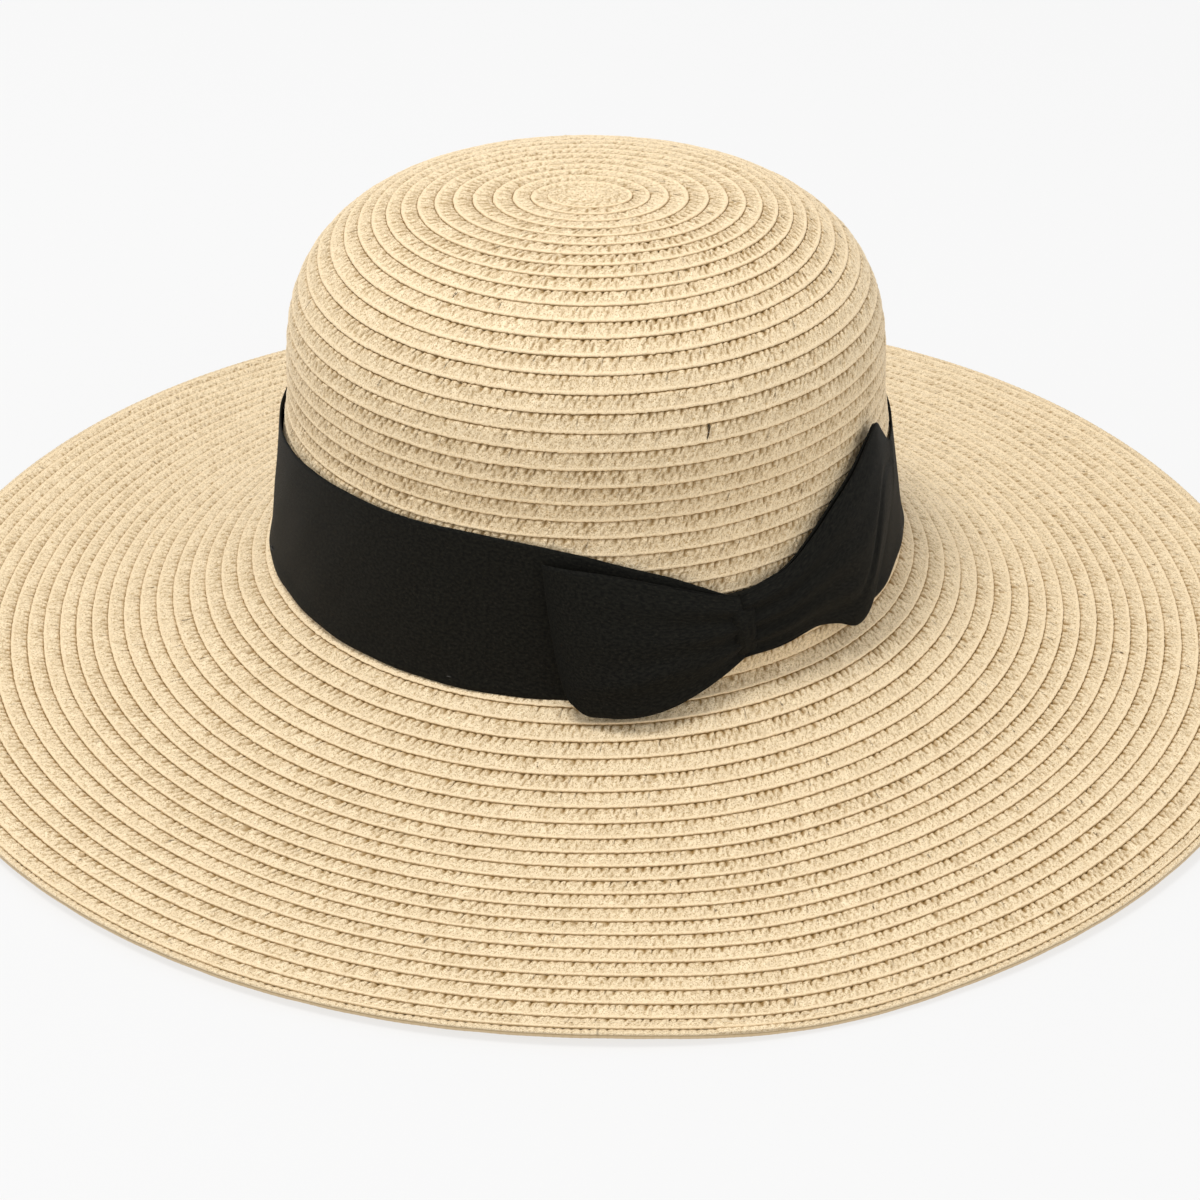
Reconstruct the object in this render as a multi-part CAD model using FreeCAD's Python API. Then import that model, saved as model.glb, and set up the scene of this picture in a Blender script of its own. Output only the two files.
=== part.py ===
"""Wide-brimmed sun hat of sewn straw braid, with a black ribbon band and bow.

One paper-straw braid is wound from the tip of the crown to the edge of the brim,
each turn (a course) lapped over the next one like a roof shingle and sewn to it.
Lengths are in millimetres.  +Z is up, -Y is the front.  The origin is the centre
of the ring that the brim edge rests on.
"""

import FreeCAD, Part

import math
import os

Vector = FreeCAD.Vector

# ---- Form of the hat: the middle surface of the straw, turned round the Z axis ----
BRIM_RADIUS = 210.0           # to the outer edge of the brim
EDGE_HEIGHT = 1.9             # middle of the straw at the brim edge
BRIM_SLOPE_AT_CROWN = 0.70    # fall of the brim per unit of radius, where it leaves the crown
BRIM_SLOPE_AT_EDGE = 0.11     # the same, at the brim edge
CROWN_BASE_RADIUS = 94.0      # where the crown wall meets the brim
SHOULDER_RADIUS = 86.9        # where the straight wall turns into the rounded top
SHOULDER_HEIGHT = 83.5
TIP_HEIGHT = 140.5
TOP_ROUNDNESS = 3.2           # exponent of the superellipse of the crown top

# ---- Straw braid ----
COURSE_PITCH = 5.19           # visible width of one course
COURSE_LAP = 2.3              # width hidden under the course above
BRAID_RISE_LOW = 0.35         # outer face of a course where it comes out from under the last one
BRAID_RISE_HIGH = 1.15        # outer face of a course at its free edge
BUTTON_HALF_LENGTH = 16.0     # oval start of the spiral, along X
BUTTON_HALF_WIDTH = 11.5      # and along Y
BUTTON_GAP = 0.1
EDGE_UNDERLAY_WIDTH = 6.5     # braid turned under the brim edge
EDGE_UNDERLAY_THICKNESS = 1.0
REST_FACE_WIDTH = 1.5         # flat ring that the hat stands on
TAIL_LENGTH = 17.0            # end of the braid, tucked over the underlay
TAIL_WIDTH = 3.6
TAIL_THICKNESS = 0.6
TAIL_AZIMUTH = 9.5            # degrees from the front towards +X

# ---- Sewing thread ----
SEAM_THREAD_RADIUS = 0.22
SEAM_THREAD_CLEARANCE = 0.06

# ---- Ribbon band and bow ----
BAND_BOTTOM = 31.6
BAND_TOP = 76.5
RIBBON_THICKNESS = 0.7
RIBBON_CLEARANCE = 0.1        # between the ribbon and the straw's highest ridges
KNOT_AZIMUTH = 27.0           # degrees from the front towards +X
KNOT_BOTTOM = 36.5
KNOT_TOP = 56.0
KNOT_WIDTH = 9.0
KNOT_THICKNESS = 7.0
BAND_GATHER_LEFT = 48.0       # how far each side of the knot the band is drawn together
BAND_GATHER_RIGHT = 48.0
TACK_AZIMUTHS = (80.0, 135.0, 180.0, 225.0, 280.0, 335.0)
TACK_LENGTH = 6.0

# ---- Sweatband and labels ----
SWEATBAND_BOTTOM = 32.6
SWEATBAND_TOP = 63.0
SWEATBAND_THICKNESS = 0.8
SWEATBAND_CLEARANCE = 0.3
SWEATBAND_BINDING_HEIGHT = 3.0
SWEATBAND_BINDING_THICKNESS = 0.5
SWEATBAND_HEM_RADIUS = 90.4    # round inner wall of the folded hem, where a head goes in
SWEATBAND_HEM_TOP = 40.0
JOIN_STITCH_COUNT = 6
JOIN_STITCH_LENGTH = 4.0
LABEL_THICKNESS = 0.25
CARE_LABEL_SIZE = (24.0, 15.0)
SIZE_LABEL_SIZE = (11.0, 9.0)

CURVE_STEPS = 400
BRIM_SPAN = BRIM_RADIUS - CROWN_BASE_RADIUS


def brim_height(radius):
    """Height of the brim's middle surface: steep at the crown, nearly flat at the edge."""
    to_edge = (BRIM_RADIUS - radius) / BRIM_SPAN
    steady = BRIM_SLOPE_AT_EDGE * to_edge
    flare = (BRIM_SLOPE_AT_CROWN - BRIM_SLOPE_AT_EDGE) * to_edge ** 4 / 4
    return EDGE_HEIGHT + BRIM_SPAN * (steady + flare)


CROWN_BASE_HEIGHT = brim_height(CROWN_BASE_RADIUS)


def form_curve():
    """(radius, height) from the tip down the crown and out to the brim edge."""
    points = []
    for step in range(CURVE_STEPS + 1):
        turn = math.pi / 2 * step / CURVE_STEPS
        radius = SHOULDER_RADIUS * math.sin(turn) ** (2 / TOP_ROUNDNESS)
        rise = max(math.cos(turn), 0.0) ** (2 / TOP_ROUNDNESS)
        points.append((radius, SHOULDER_HEIGHT + (TIP_HEIGHT - SHOULDER_HEIGHT) * rise))
    points.append((CROWN_BASE_RADIUS, CROWN_BASE_HEIGHT))
    for step in range(1, CURVE_STEPS + 1):
        radius = CROWN_BASE_RADIUS + BRIM_SPAN * step / CURVE_STEPS
        points.append((radius, brim_height(radius)))
    return points


FORM = form_curve()
FORM_LENGTHS = [0.0]
for before, after in zip(FORM, FORM[1:]):
    FORM_LENGTHS.append(FORM_LENGTHS[-1] + math.dist(before, after))
BRIM_EDGE_LENGTH = FORM_LENGTHS[-1]
CROWN_BASE_LENGTH = FORM_LENGTHS[CURVE_STEPS + 1]


def form_point(length, offset=0.0):
    """Point at a distance along the form from the tip, moved outwards by offset."""
    index = 1
    while index < len(FORM) - 1 and FORM_LENGTHS[index] < length:
        index += 1
    start, end = FORM[index - 1], FORM[index]
    span = FORM_LENGTHS[index] - FORM_LENGTHS[index - 1]
    share = (length - FORM_LENGTHS[index - 1]) / span
    along = ((end[0] - start[0]) / span, (end[1] - start[1]) / span)
    radius = start[0] + share * (end[0] - start[0]) - offset * along[1]
    height = start[1] + share * (end[1] - start[1]) + offset * along[0]
    return Vector(radius, 0, height)


def length_at_height(height):
    """Distance along the crown at which its middle surface is at a height."""
    low, high = 0.0, CROWN_BASE_LENGTH
    while high - low > 1e-4:
        middle = (low + high) / 2
        if form_point(middle).z > height:
            low = middle
        else:
            high = middle
    return low


def turned(points):
    """Solid of a closed outline in the XZ plane, turned round the Z axis."""
    face = Part.Face(Part.makePolygon(points + [points[0]]))
    return face.revolve(Vector(0, 0, 0), Vector(0, 0, 1), 360)


def at_azimuth(shape, azimuth):
    """Shape made at the front of the hat, moved round it by degrees towards +X."""
    moved = shape.copy()
    moved.rotate(Vector(0, 0, 0), Vector(0, 0, 1), azimuth)
    return moved


# ---- Straw ----

COURSE_COUNT = round(BRIM_EDGE_LENGTH / COURSE_PITCH)
PITCH = BRIM_EDGE_LENGTH / COURSE_COUNT


def straw_zone(first, last):
    """Ring of lapped courses, from course number first up to but not including last."""
    rise = BRAID_RISE_HIGH - BRAID_RISE_LOW
    outer = []
    inner = []
    for course in range(first, last):
        start = course * PITCH
        outer.append(form_point(start, BRAID_RISE_LOW))
        outer.append(form_point(start + PITCH, BRAID_RISE_HIGH))
    step_at = PITCH - COURSE_LAP
    rise_at_lap = BRAID_RISE_LOW + rise * COURSE_LAP / PITCH
    inner.append(form_point(first * PITCH, -BRAID_RISE_HIGH + rise_at_lap - BRAID_RISE_LOW))
    for course in range(first, last):
        start = course * PITCH + step_at
        inner.append(form_point(start, -BRAID_RISE_LOW))
        inner.append(form_point(start, -BRAID_RISE_HIGH))
    inner.append(form_point(last * PITCH, -BRAID_RISE_HIGH + rise_at_lap - BRAID_RISE_LOW))
    return turned(outer + inner[::-1])


def oval_plug(half_length, half_width, bottom, top):
    ellipse = Part.Ellipse(Vector(0, 0, bottom), half_length, half_width)
    face = Part.Face(Part.Wire(ellipse.toShape()))
    return face.extrude(Vector(0, 0, top - bottom))


BUTTON_TOP = TIP_HEIGHT + BRAID_RISE_HIGH
BUTTON_BOTTOM = TIP_HEIGHT - BRAID_RISE_HIGH
TIP_COURSES = 9
SHOULDER_COURSES = 19
WALL_COURSES = 26
CROWN_COURSES = round(CROWN_BASE_LENGTH / PITCH)


def tip_button():
    """Oval start of the spiral: the braid doubled back on itself."""
    button = oval_plug(BUTTON_HALF_LENGTH, BUTTON_HALF_WIDTH, BUTTON_BOTTOM, BUTTON_TOP)
    rim = [edge for edge in button.Edges if edge.BoundBox.ZMin > TIP_HEIGHT]
    return button.makeFillet(BRAID_RISE_LOW, rim)


def crown_tip_braid():
    disc = straw_zone(1, TIP_COURSES)
    hole = oval_plug(BUTTON_HALF_LENGTH + BUTTON_GAP, BUTTON_HALF_WIDTH + BUTTON_GAP,
                     BUTTON_BOTTOM - 5, BUTTON_TOP + 5)
    return disc.cut(hole)


def brim_edge_underlay():
    """The last turn of braid, turned under the edge; its underside is the rest face."""
    inner_radius = BRIM_RADIUS - EDGE_UNDERLAY_WIDTH
    under_straw = BRAID_RISE_HIGH + SEAM_THREAD_CLEARANCE
    outer_top = form_point(BRIM_EDGE_LENGTH, -under_straw)
    inner_top = form_point(BRIM_EDGE_LENGTH - EDGE_UNDERLAY_WIDTH, -under_straw)
    return turned([
        outer_top,
        inner_top,
        Vector(inner_radius, 0, inner_top.z - EDGE_UNDERLAY_THICKNESS / 2),
        Vector(BRIM_RADIUS - 2 * REST_FACE_WIDTH, 0, 0),
        Vector(BRIM_RADIUS - REST_FACE_WIDTH, 0, 0),
        Vector(BRIM_RADIUS, 0, outer_top.z / 2),
    ])


def braid_tail():
    """Cut end of the braid, stitched down on the brim edge near the front."""
    top = form_point(BRIM_EDGE_LENGTH - TAIL_WIDTH, BRAID_RISE_HIGH)
    low = form_point(BRIM_EDGE_LENGTH, BRAID_RISE_HIGH)
    lift = Vector(0, 0, RIBBON_CLEARANCE)
    thick = Vector(0, 0, TAIL_THICKNESS)
    outline = [top + lift, low + lift, low + lift + thick / 2, top + lift + thick]
    face = Part.Face(Part.makePolygon(outline + [outline[0]]))
    sweep = math.degrees(TAIL_LENGTH / BRIM_RADIUS)
    tail = face.revolve(Vector(0, 0, 0), Vector(0, 0, 1), sweep)
    return at_azimuth(tail, TAIL_AZIMUTH - 90)


def thread_ring(centre):
    """Ring of thread round the Z axis, with a diamond section for its round one."""
    across = Vector(SEAM_THREAD_RADIUS, 0, 0)
    upwards = Vector(0, 0, SEAM_THREAD_RADIUS)
    return turned([centre + across, centre + upwards, centre - across, centre - upwards])


def seam_thread(first, last):
    """Rings of lockstitch inside the hat, one in the notch of each lap."""
    rings = []
    below = BRAID_RISE_LOW + SEAM_THREAD_RADIUS + SEAM_THREAD_CLEARANCE
    for course in range(first, last):
        notch = (course + 1) * PITCH - COURSE_LAP - SEAM_THREAD_RADIUS - SEAM_THREAD_CLEARANCE
        centre = form_point(notch, -below)
        rings.append(thread_ring(centre))
    return Part.makeCompound(rings)


def edge_topstitch():
    """Row of stitching that holds the doubled brim edge, seen from above."""
    centre = form_point(BRIM_EDGE_LENGTH - EDGE_UNDERLAY_WIDTH * 0.6,
                        BRAID_RISE_HIGH + SEAM_THREAD_RADIUS)
    return thread_ring(centre)


# ---- Ribbon ----

RIBBON_INSIDE = BRAID_RISE_HIGH + RIBBON_CLEARANCE
RIBBON_OUTSIDE = RIBBON_INSIDE + RIBBON_THICKNESS


def wall_point(height, offset):
    return form_point(length_at_height(height), offset)


def wall_ring(bottom, top, inside, outside):
    """Ring that follows the crown wall between two heights and two offsets from it."""
    return turned([wall_point(bottom, inside), wall_point(bottom, outside),
                   wall_point(top, outside), wall_point(top, inside)])


def gather_cutter(knot_end, far_end):
    """Prism over the knot that takes the gathered part of the band away.

    Its curved side runs from the level edge, down or up to the knot, and back again.
    """
    left = Vector(-BAND_GATHER_LEFT, 0, far_end)
    right = Vector(BAND_GATHER_RIGHT, 0, far_end)
    knot = Vector(0, 0, knot_end)
    sag = (knot_end - far_end) * 0.4
    left_bend = Vector(-BAND_GATHER_LEFT / 2, 0, far_end + sag)
    right_bend = Vector(BAND_GATHER_RIGHT / 2, 0, far_end + sag)
    edges = [Part.Arc(left, left_bend, knot).toShape(),
             Part.Arc(knot, right_bend, right).toShape(),
             Part.makeLine(right, left)]
    face = Part.Face(Part.Wire(edges))
    return at_azimuth(face.extrude(Vector(0, -2 * CROWN_BASE_RADIUS, 0)), KNOT_AZIMUTH)


def ribbon_band():
    """Ribbon round the foot of the crown, drawn together under the knot."""
    ring = wall_ring(BAND_BOTTOM, BAND_TOP, RIBBON_INSIDE, RIBBON_OUTSIDE)
    top_gather = gather_cutter(KNOT_TOP - 3, BAND_TOP + 0.01)
    bottom_gather = gather_cutter(KNOT_BOTTOM + 3, BAND_BOTTOM - 0.01)
    return ring.cut(top_gather).cut(bottom_gather)


def loop_section(azimuth, bottom, top, depth, stand_off):
    """Closed outline of a bow loop in the upright plane at one azimuth.

    Its straight side faces the crown and its arched side faces out.
    """
    foot_gap = RIBBON_OUTSIDE + RIBBON_CLEARANCE + stand_off
    head_gap = RIBBON_OUTSIDE + RIBBON_CLEARANCE
    foot = wall_point(max(bottom, BAND_BOTTOM), foot_gap)
    foot = Vector(foot.x, 0, bottom)
    head = wall_point(top, head_gap)
    bulge = (foot + head) / 2 + Vector(depth, 0, 0)
    wire = Part.Wire([Part.makeLine(foot, head), Part.Arc(head, bulge, foot).toShape()])
    wire.rotate(Vector(0, 0, 0), Vector(0, 0, 1), azimuth - 90)
    return wire


# azimuth, bottom, top, depth, stand-off at the foot
LEFT_LOOP = (
    (25.0, 37.5, 55.0, 3.5, 0.5),
    (15.0, 32.0, 60.5, 6.0, 4.0),
    (4.0, 29.5, 67.5, 6.5, 6.5),
    (-7.0, 32.0, 71.5, 2.0, 4.0),
)
RIGHT_LOOP = (
    (29.0, 37.5, 55.0, 3.5, 0.5),
    (42.0, 35.5, 59.0, 6.0, 1.0),
    (55.0, 31.5, 70.0, 7.0, 2.0),
    (66.0, 37.0, 79.0, 5.0, 1.0),
    (77.0, 50.0, 80.0, 2.0, 0.0),
)


def bow_loop(stations):
    return Part.makeLoft([loop_section(*station) for station in stations], True)


def bow_knot():
    """Short wrap of ribbon that pinches the band and both loops together."""
    inside = wall_point((KNOT_BOTTOM + KNOT_TOP) / 2, RIBBON_OUTSIDE + RIBBON_CLEARANCE)
    knot = Part.makeBox(KNOT_WIDTH, KNOT_THICKNESS, KNOT_TOP - KNOT_BOTTOM,
                        Vector(-KNOT_WIDTH / 2, -inside.x - KNOT_THICKNESS, KNOT_BOTTOM))
    outer_edges = [edge for edge in knot.Edges if edge.BoundBox.YMax < -inside.x - 1]
    return at_azimuth(knot.makeFillet(KNOT_THICKNESS * 0.4, outer_edges), KNOT_AZIMUTH)


def ribbon_tack_stitches():
    """Short hand stitches through the band's lower edge, one every few centimetres."""
    height = BAND_BOTTOM + 4
    stitches = []
    for azimuth in TACK_AZIMUTHS:
        at = wall_point(height, RIBBON_OUTSIDE + SEAM_THREAD_RADIUS)
        bar = Part.makeCylinder(SEAM_THREAD_RADIUS, TACK_LENGTH,
                                Vector(-TACK_LENGTH / 2, -at.x - 0.1, height), Vector(1, 0, 0))
        stitches.append(at_azimuth(bar, azimuth))
    return Part.makeCompound(stitches)


# ---- Sweatband ----

SWEATBAND_OUTSIDE = -BRAID_RISE_HIGH - SWEATBAND_CLEARANCE
SWEATBAND_INSIDE = SWEATBAND_OUTSIDE - SWEATBAND_THICKNESS


def sweatband():
    """Woven tape inside the opening, with a folded hem along its lower edge."""
    return turned([
        wall_point(SWEATBAND_BOTTOM, SWEATBAND_OUTSIDE),
        wall_point(SWEATBAND_TOP, SWEATBAND_OUTSIDE),
        wall_point(SWEATBAND_TOP, SWEATBAND_INSIDE),
        Vector(SWEATBAND_HEM_RADIUS, 0, SWEATBAND_HEM_TOP),
        Vector(SWEATBAND_HEM_RADIUS, 0, SWEATBAND_BOTTOM),
    ])


def sweatband_binding():
    """Folded tape over the free top edge of the sweatband."""
    bottom = SWEATBAND_TOP + SEAM_THREAD_CLEARANCE
    return wall_ring(bottom, bottom + SWEATBAND_BINDING_HEIGHT,
                     SWEATBAND_INSIDE - SWEATBAND_BINDING_THICKNESS, SWEATBAND_OUTSIDE)


def sweatband_stitching():
    """Ring of overcast stitching along the lower edge of the sweatband."""
    radius = SWEATBAND_HEM_RADIUS + 3 * SEAM_THREAD_RADIUS
    height = SWEATBAND_BOTTOM - SEAM_THREAD_RADIUS - SEAM_THREAD_CLEARANCE
    return thread_ring(Vector(radius, 0, height))


def sweatband_join_stitches():
    """Row of cross stitches up the back, where the two ends of the sweatband meet."""
    stitches = []
    spacing = (SWEATBAND_TOP - SWEATBAND_HEM_TOP) / (JOIN_STITCH_COUNT + 1)
    for number in range(JOIN_STITCH_COUNT):
        height = SWEATBAND_HEM_TOP + spacing * (number + 1)
        at = wall_point(height, SWEATBAND_INSIDE - SEAM_THREAD_RADIUS)
        start = Vector(-JOIN_STITCH_LENGTH / 2, at.x - SEAM_THREAD_CLEARANCE, height)
        stitches.append(Part.makeCylinder(SEAM_THREAD_RADIUS, JOIN_STITCH_LENGTH, start, Vector(1, 0, 0)))
    return Part.makeCompound(stitches)


def label(size, bottom, azimuth):
    """Blank woven label lying on the inside of the sweatband."""
    width, height = size
    ring = wall_ring(bottom, bottom + height, SWEATBAND_INSIDE - 0.05 - LABEL_THICKNESS,
                     SWEATBAND_INSIDE - 0.05)
    block = Part.makeBox(width, CROWN_BASE_RADIUS, TIP_HEIGHT, Vector(-width / 2, 0, 0))
    return at_azimuth(ring.common(block), azimuth)


def write(node, shape):
    solids = shape.Solids
    valid = all(solid.isValid() for solid in solids)
    print(f"{node:26s} solids {len(solids):3d}  valid {valid}  volume {shape.Volume / 1000:8.2f} cm3")
    shape.exportStep(f"parts/{node}.step")


def main():
    os.makedirs("parts", exist_ok=True)
    write("tip_button", tip_button())
    write("crown_tip_braid", crown_tip_braid())
    write("crown_shoulder_braid", straw_zone(TIP_COURSES, SHOULDER_COURSES))
    write("crown_wall_braid", straw_zone(SHOULDER_COURSES, WALL_COURSES))
    write("crown_base_braid", straw_zone(WALL_COURSES, CROWN_COURSES))
    write("brim_braid", straw_zone(CROWN_COURSES, COURSE_COUNT - 1))
    write("brim_edge_braid", straw_zone(COURSE_COUNT - 1, COURSE_COUNT))
    write("brim_edge_underlay", brim_edge_underlay())
    write("braid_tail", braid_tail())
    write("crown_seam_thread", seam_thread(4, CROWN_COURSES))
    write("brim_seam_thread", seam_thread(CROWN_COURSES, COURSE_COUNT - 1))
    write("edge_topstitch", edge_topstitch())
    write("ribbon_band", ribbon_band())
    write("bow_left_loop", bow_loop(LEFT_LOOP))
    write("bow_right_loop", bow_loop(RIGHT_LOOP))
    write("bow_knot", bow_knot())
    write("ribbon_tack_stitches", ribbon_tack_stitches())
    write("sweatband", sweatband())
    write("sweatband_binding", sweatband_binding())
    write("sweatband_stitching", sweatband_stitching())
    write("sweatband_join_stitches", sweatband_join_stitches())
    write("care_label", label(CARE_LABEL_SIZE, 42.0, 14.0))
    write("size_label", label(SIZE_LABEL_SIZE, 45.0, -12.0))


main()
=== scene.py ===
"""Looks of the straw sun hat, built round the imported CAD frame. Lengths are in metres."""

import math

import bpy
import numpy as np
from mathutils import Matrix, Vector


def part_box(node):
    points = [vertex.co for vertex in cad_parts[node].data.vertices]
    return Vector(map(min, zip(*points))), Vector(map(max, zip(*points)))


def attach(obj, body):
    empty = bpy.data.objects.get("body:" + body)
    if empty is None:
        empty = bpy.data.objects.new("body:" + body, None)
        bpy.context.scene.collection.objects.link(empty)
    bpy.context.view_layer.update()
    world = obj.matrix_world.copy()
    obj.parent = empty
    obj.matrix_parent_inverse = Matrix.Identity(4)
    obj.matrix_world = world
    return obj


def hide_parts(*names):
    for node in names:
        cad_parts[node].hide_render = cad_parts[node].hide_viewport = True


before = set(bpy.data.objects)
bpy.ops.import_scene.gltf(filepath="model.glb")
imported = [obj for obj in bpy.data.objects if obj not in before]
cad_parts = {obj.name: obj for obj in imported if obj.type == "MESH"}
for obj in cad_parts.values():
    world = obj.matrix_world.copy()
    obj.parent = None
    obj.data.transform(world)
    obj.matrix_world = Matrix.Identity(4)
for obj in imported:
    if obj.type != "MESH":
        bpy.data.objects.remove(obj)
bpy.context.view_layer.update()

MM = 0.001
FULL_TURN = 2 * math.pi

# ---- Form of the hat, the same as the CAD's ----
BRIM_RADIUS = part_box("brim_edge_underlay")[1][0]
EDGE_HEIGHT = 1.9 * MM
BRIM_SLOPE_AT_CROWN = 0.70
BRIM_SLOPE_AT_EDGE = 0.11
CROWN_BASE_RADIUS = 94.0 * MM
SHOULDER_RADIUS = 86.9 * MM
SHOULDER_HEIGHT = 83.5 * MM
TIP_HEIGHT = 140.5 * MM
TOP_ROUNDNESS = 3.2
BRIM_SPAN = BRIM_RADIUS - CROWN_BASE_RADIUS

# ---- Straw braid ----
COURSE_PITCH = 5.19 * MM
PAD_LENGTH = 2.3 * MM          # one woven loop along the braid
COLUMNS_PER_PAD = 4            # points along one pad on the outside
INNER_COLUMNS_PER_PAD = 2      # and on the inside
EDGE_COURSE_WIDTH = 1.8 * MM   # how much of the doubled edge shows past the last course
PIECE_FACES = 90000            # quads in one straw piece, at most


def brim_height(radius):
    """Height of the straw's middle surface on the brim."""
    to_edge = (BRIM_RADIUS - radius) / BRIM_SPAN
    flare = (BRIM_SLOPE_AT_CROWN - BRIM_SLOPE_AT_EDGE) * to_edge ** 4 / 4
    return EDGE_HEIGHT + BRIM_SPAN * (BRIM_SLOPE_AT_EDGE * to_edge + flare)


def form_curve():
    """Radii and heights of the straw's middle surface from the tip to the brim edge."""
    turn = np.linspace(0, math.pi / 2, 1200)
    top_radius = SHOULDER_RADIUS * np.sin(turn) ** (2 / TOP_ROUNDNESS)
    rise = np.clip(np.cos(turn), 0, 1) ** (2 / TOP_ROUNDNESS)
    top_height = SHOULDER_HEIGHT + (TIP_HEIGHT - SHOULDER_HEIGHT) * rise
    wall = np.linspace(0, 1, 200)[1:]
    wall_radius = SHOULDER_RADIUS + wall * (CROWN_BASE_RADIUS - SHOULDER_RADIUS)
    wall_height = SHOULDER_HEIGHT + wall * (brim_height(CROWN_BASE_RADIUS) - SHOULDER_HEIGHT)
    brim_radius = np.linspace(CROWN_BASE_RADIUS, BRIM_RADIUS, 400)[1:]
    radius = np.concatenate([top_radius, wall_radius, brim_radius])
    height = np.concatenate([top_height, wall_height, brim_height(brim_radius)])
    return radius, height


FORM_RADIUS, FORM_HEIGHT = form_curve()
_STEP = np.hypot(np.diff(FORM_RADIUS), np.diff(FORM_HEIGHT))
FORM_LENGTH = np.concatenate([[0.0], np.cumsum(_STEP)])
EDGE_LENGTH = FORM_LENGTH[-1]
CROWN_BASE_HEIGHT = brim_height(CROWN_BASE_RADIUS)
BAND_BOTTOM = 31.2 * MM        # foot of the ribbon
_ALONG_RADIUS = np.gradient(FORM_RADIUS, FORM_LENGTH)
_ALONG_HEIGHT = np.gradient(FORM_HEIGHT, FORM_LENGTH)
SMOOTHING_REACH = 20           # samples on each side


def smoothed(values):
    weights = np.ones(2 * SMOOTHING_REACH + 1) / (2 * SMOOTHING_REACH + 1)
    padded = np.pad(values, SMOOTHING_REACH, mode="edge")
    return np.convolve(padded, weights, mode="valid")


OUT_RADIUS = smoothed(-_ALONG_HEIGHT)
OUT_HEIGHT = smoothed(_ALONG_RADIUS)


def smoothstep(low, high, value):
    share = np.clip((value - low) / (high - low), 0, 1)
    return share * share * (3 - 2 * share)


def through(stations, share):
    """Smooth curve through (share, value) pairs, read at each share."""
    known, values = np.array(stations, float).T
    slopes = np.gradient(values, known)
    index = np.clip(np.searchsorted(known, share, side="right") - 1, 0, len(known) - 2)
    span = known[index + 1] - known[index]
    t = np.clip((share - known[index]) / span, 0, 1)
    start, end = values[index], values[index + 1]
    rise_start, rise_end = slopes[index] * span, slopes[index + 1] * span
    return ((2 * t ** 3 - 3 * t ** 2 + 1) * start + (t ** 3 - 2 * t ** 2 + t) * rise_start
            + (3 * t ** 2 - 2 * t ** 3) * end + (t ** 3 - t ** 2) * rise_end)


def length_at_height(height):
    """Distance along the crown from the tip, at a height of its middle surface."""
    crown = FORM_RADIUS <= CROWN_BASE_RADIUS + 1e-9
    return np.interp(-height, -FORM_HEIGHT[crown], FORM_LENGTH[crown])


# ---- Soft irregularities shared by every piece ----
OVAL_SHARE = 0.12              # the first courses are this much longer along X than round
OVAL_FULL = 28 * MM            # radius up to which they are
OVAL_NONE = 75 * MM            # radius from which the courses are round
BUTTON_STRETCH = 3.0 * MM      # the doubled start of the braid, drawn out along X
BUTTON_REACH = 12 * MM
BUTTON_RADIUS = 10.0 * MM
CROWN_LEAN = -3.6 * MM         # along X
# azimuth in degrees from the front towards +X, lift of the brim edge in mm
BRIM_LIFT = ((-180, 1.6), (-135, 2.4), (-95, 1.0), (-50, 1.7), (-12, 1.5), (2, 1.6), (16, 0.1),
             (34, 0.9), (60, 2.2), (100, 1.0), (140, 2.1), (180, 1.6))
BRIM_NARROWER = 0.0105         # the brim is a little narrower across than front to back
BRIM_NARROWER_LEFT = 0.0085    # and more so on the wearer's left
CORNER_AZIMUTH = math.radians(14)
CORNER_REACH = math.radians(11)
CORNER_SIZE = 2.0 * MM         # the braid's tucked end pushes the rim out here


def place(length, azimuth, offset):
    """Point on the hat: distance from the tip, azimuth from the front to +X, height above."""
    radius = np.interp(length, FORM_LENGTH, FORM_RADIUS)
    height = np.interp(length, FORM_LENGTH, FORM_HEIGHT)
    radius = radius + offset * np.interp(length, FORM_LENGTH, OUT_RADIUS)
    height = height + offset * np.interp(length, FORM_LENGTH, OUT_HEIGHT)
    return settle(radius, azimuth, height)


def signed(azimuth):
    """The same direction between minus and plus half a turn."""
    return (azimuth + math.pi) % FULL_TURN - math.pi


def settle(radius, azimuth, height):
    """Point of the even hat, moved to where the soft, worn one has it."""
    on_brim = smoothstep(CROWN_BASE_RADIUS, BRIM_RADIUS, radius)
    turned = signed(azimuth)
    lift = through(BRIM_LIFT, np.degrees(turned)) * MM
    corner = CORNER_SIZE * np.exp(-((turned - CORNER_AZIMUTH) / CORNER_REACH) ** 2)
    radius = radius + corner * on_brim ** 3
    oval = OVAL_SHARE * (1 - smoothstep(OVAL_FULL, OVAL_NONE, radius))
    button = BUTTON_STRETCH * np.exp(-(radius / BUTTON_REACH) ** 2) * np.minimum(1, radius / (4 * MM))
    narrower = on_brim * (BRIM_NARROWER + BRIM_NARROWER_LEFT * np.sin(azimuth))
    x = (radius * (1 + oval - narrower) + button) * np.sin(azimuth) + CROWN_LEAN * (1 - on_brim)
    y = -radius * (1 - oval) * np.cos(azimuth)
    z = height + lift * on_brim
    return np.stack(np.broadcast_arrays(x, y, z), axis=-1)


# ---- Mesh helpers ----

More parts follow.
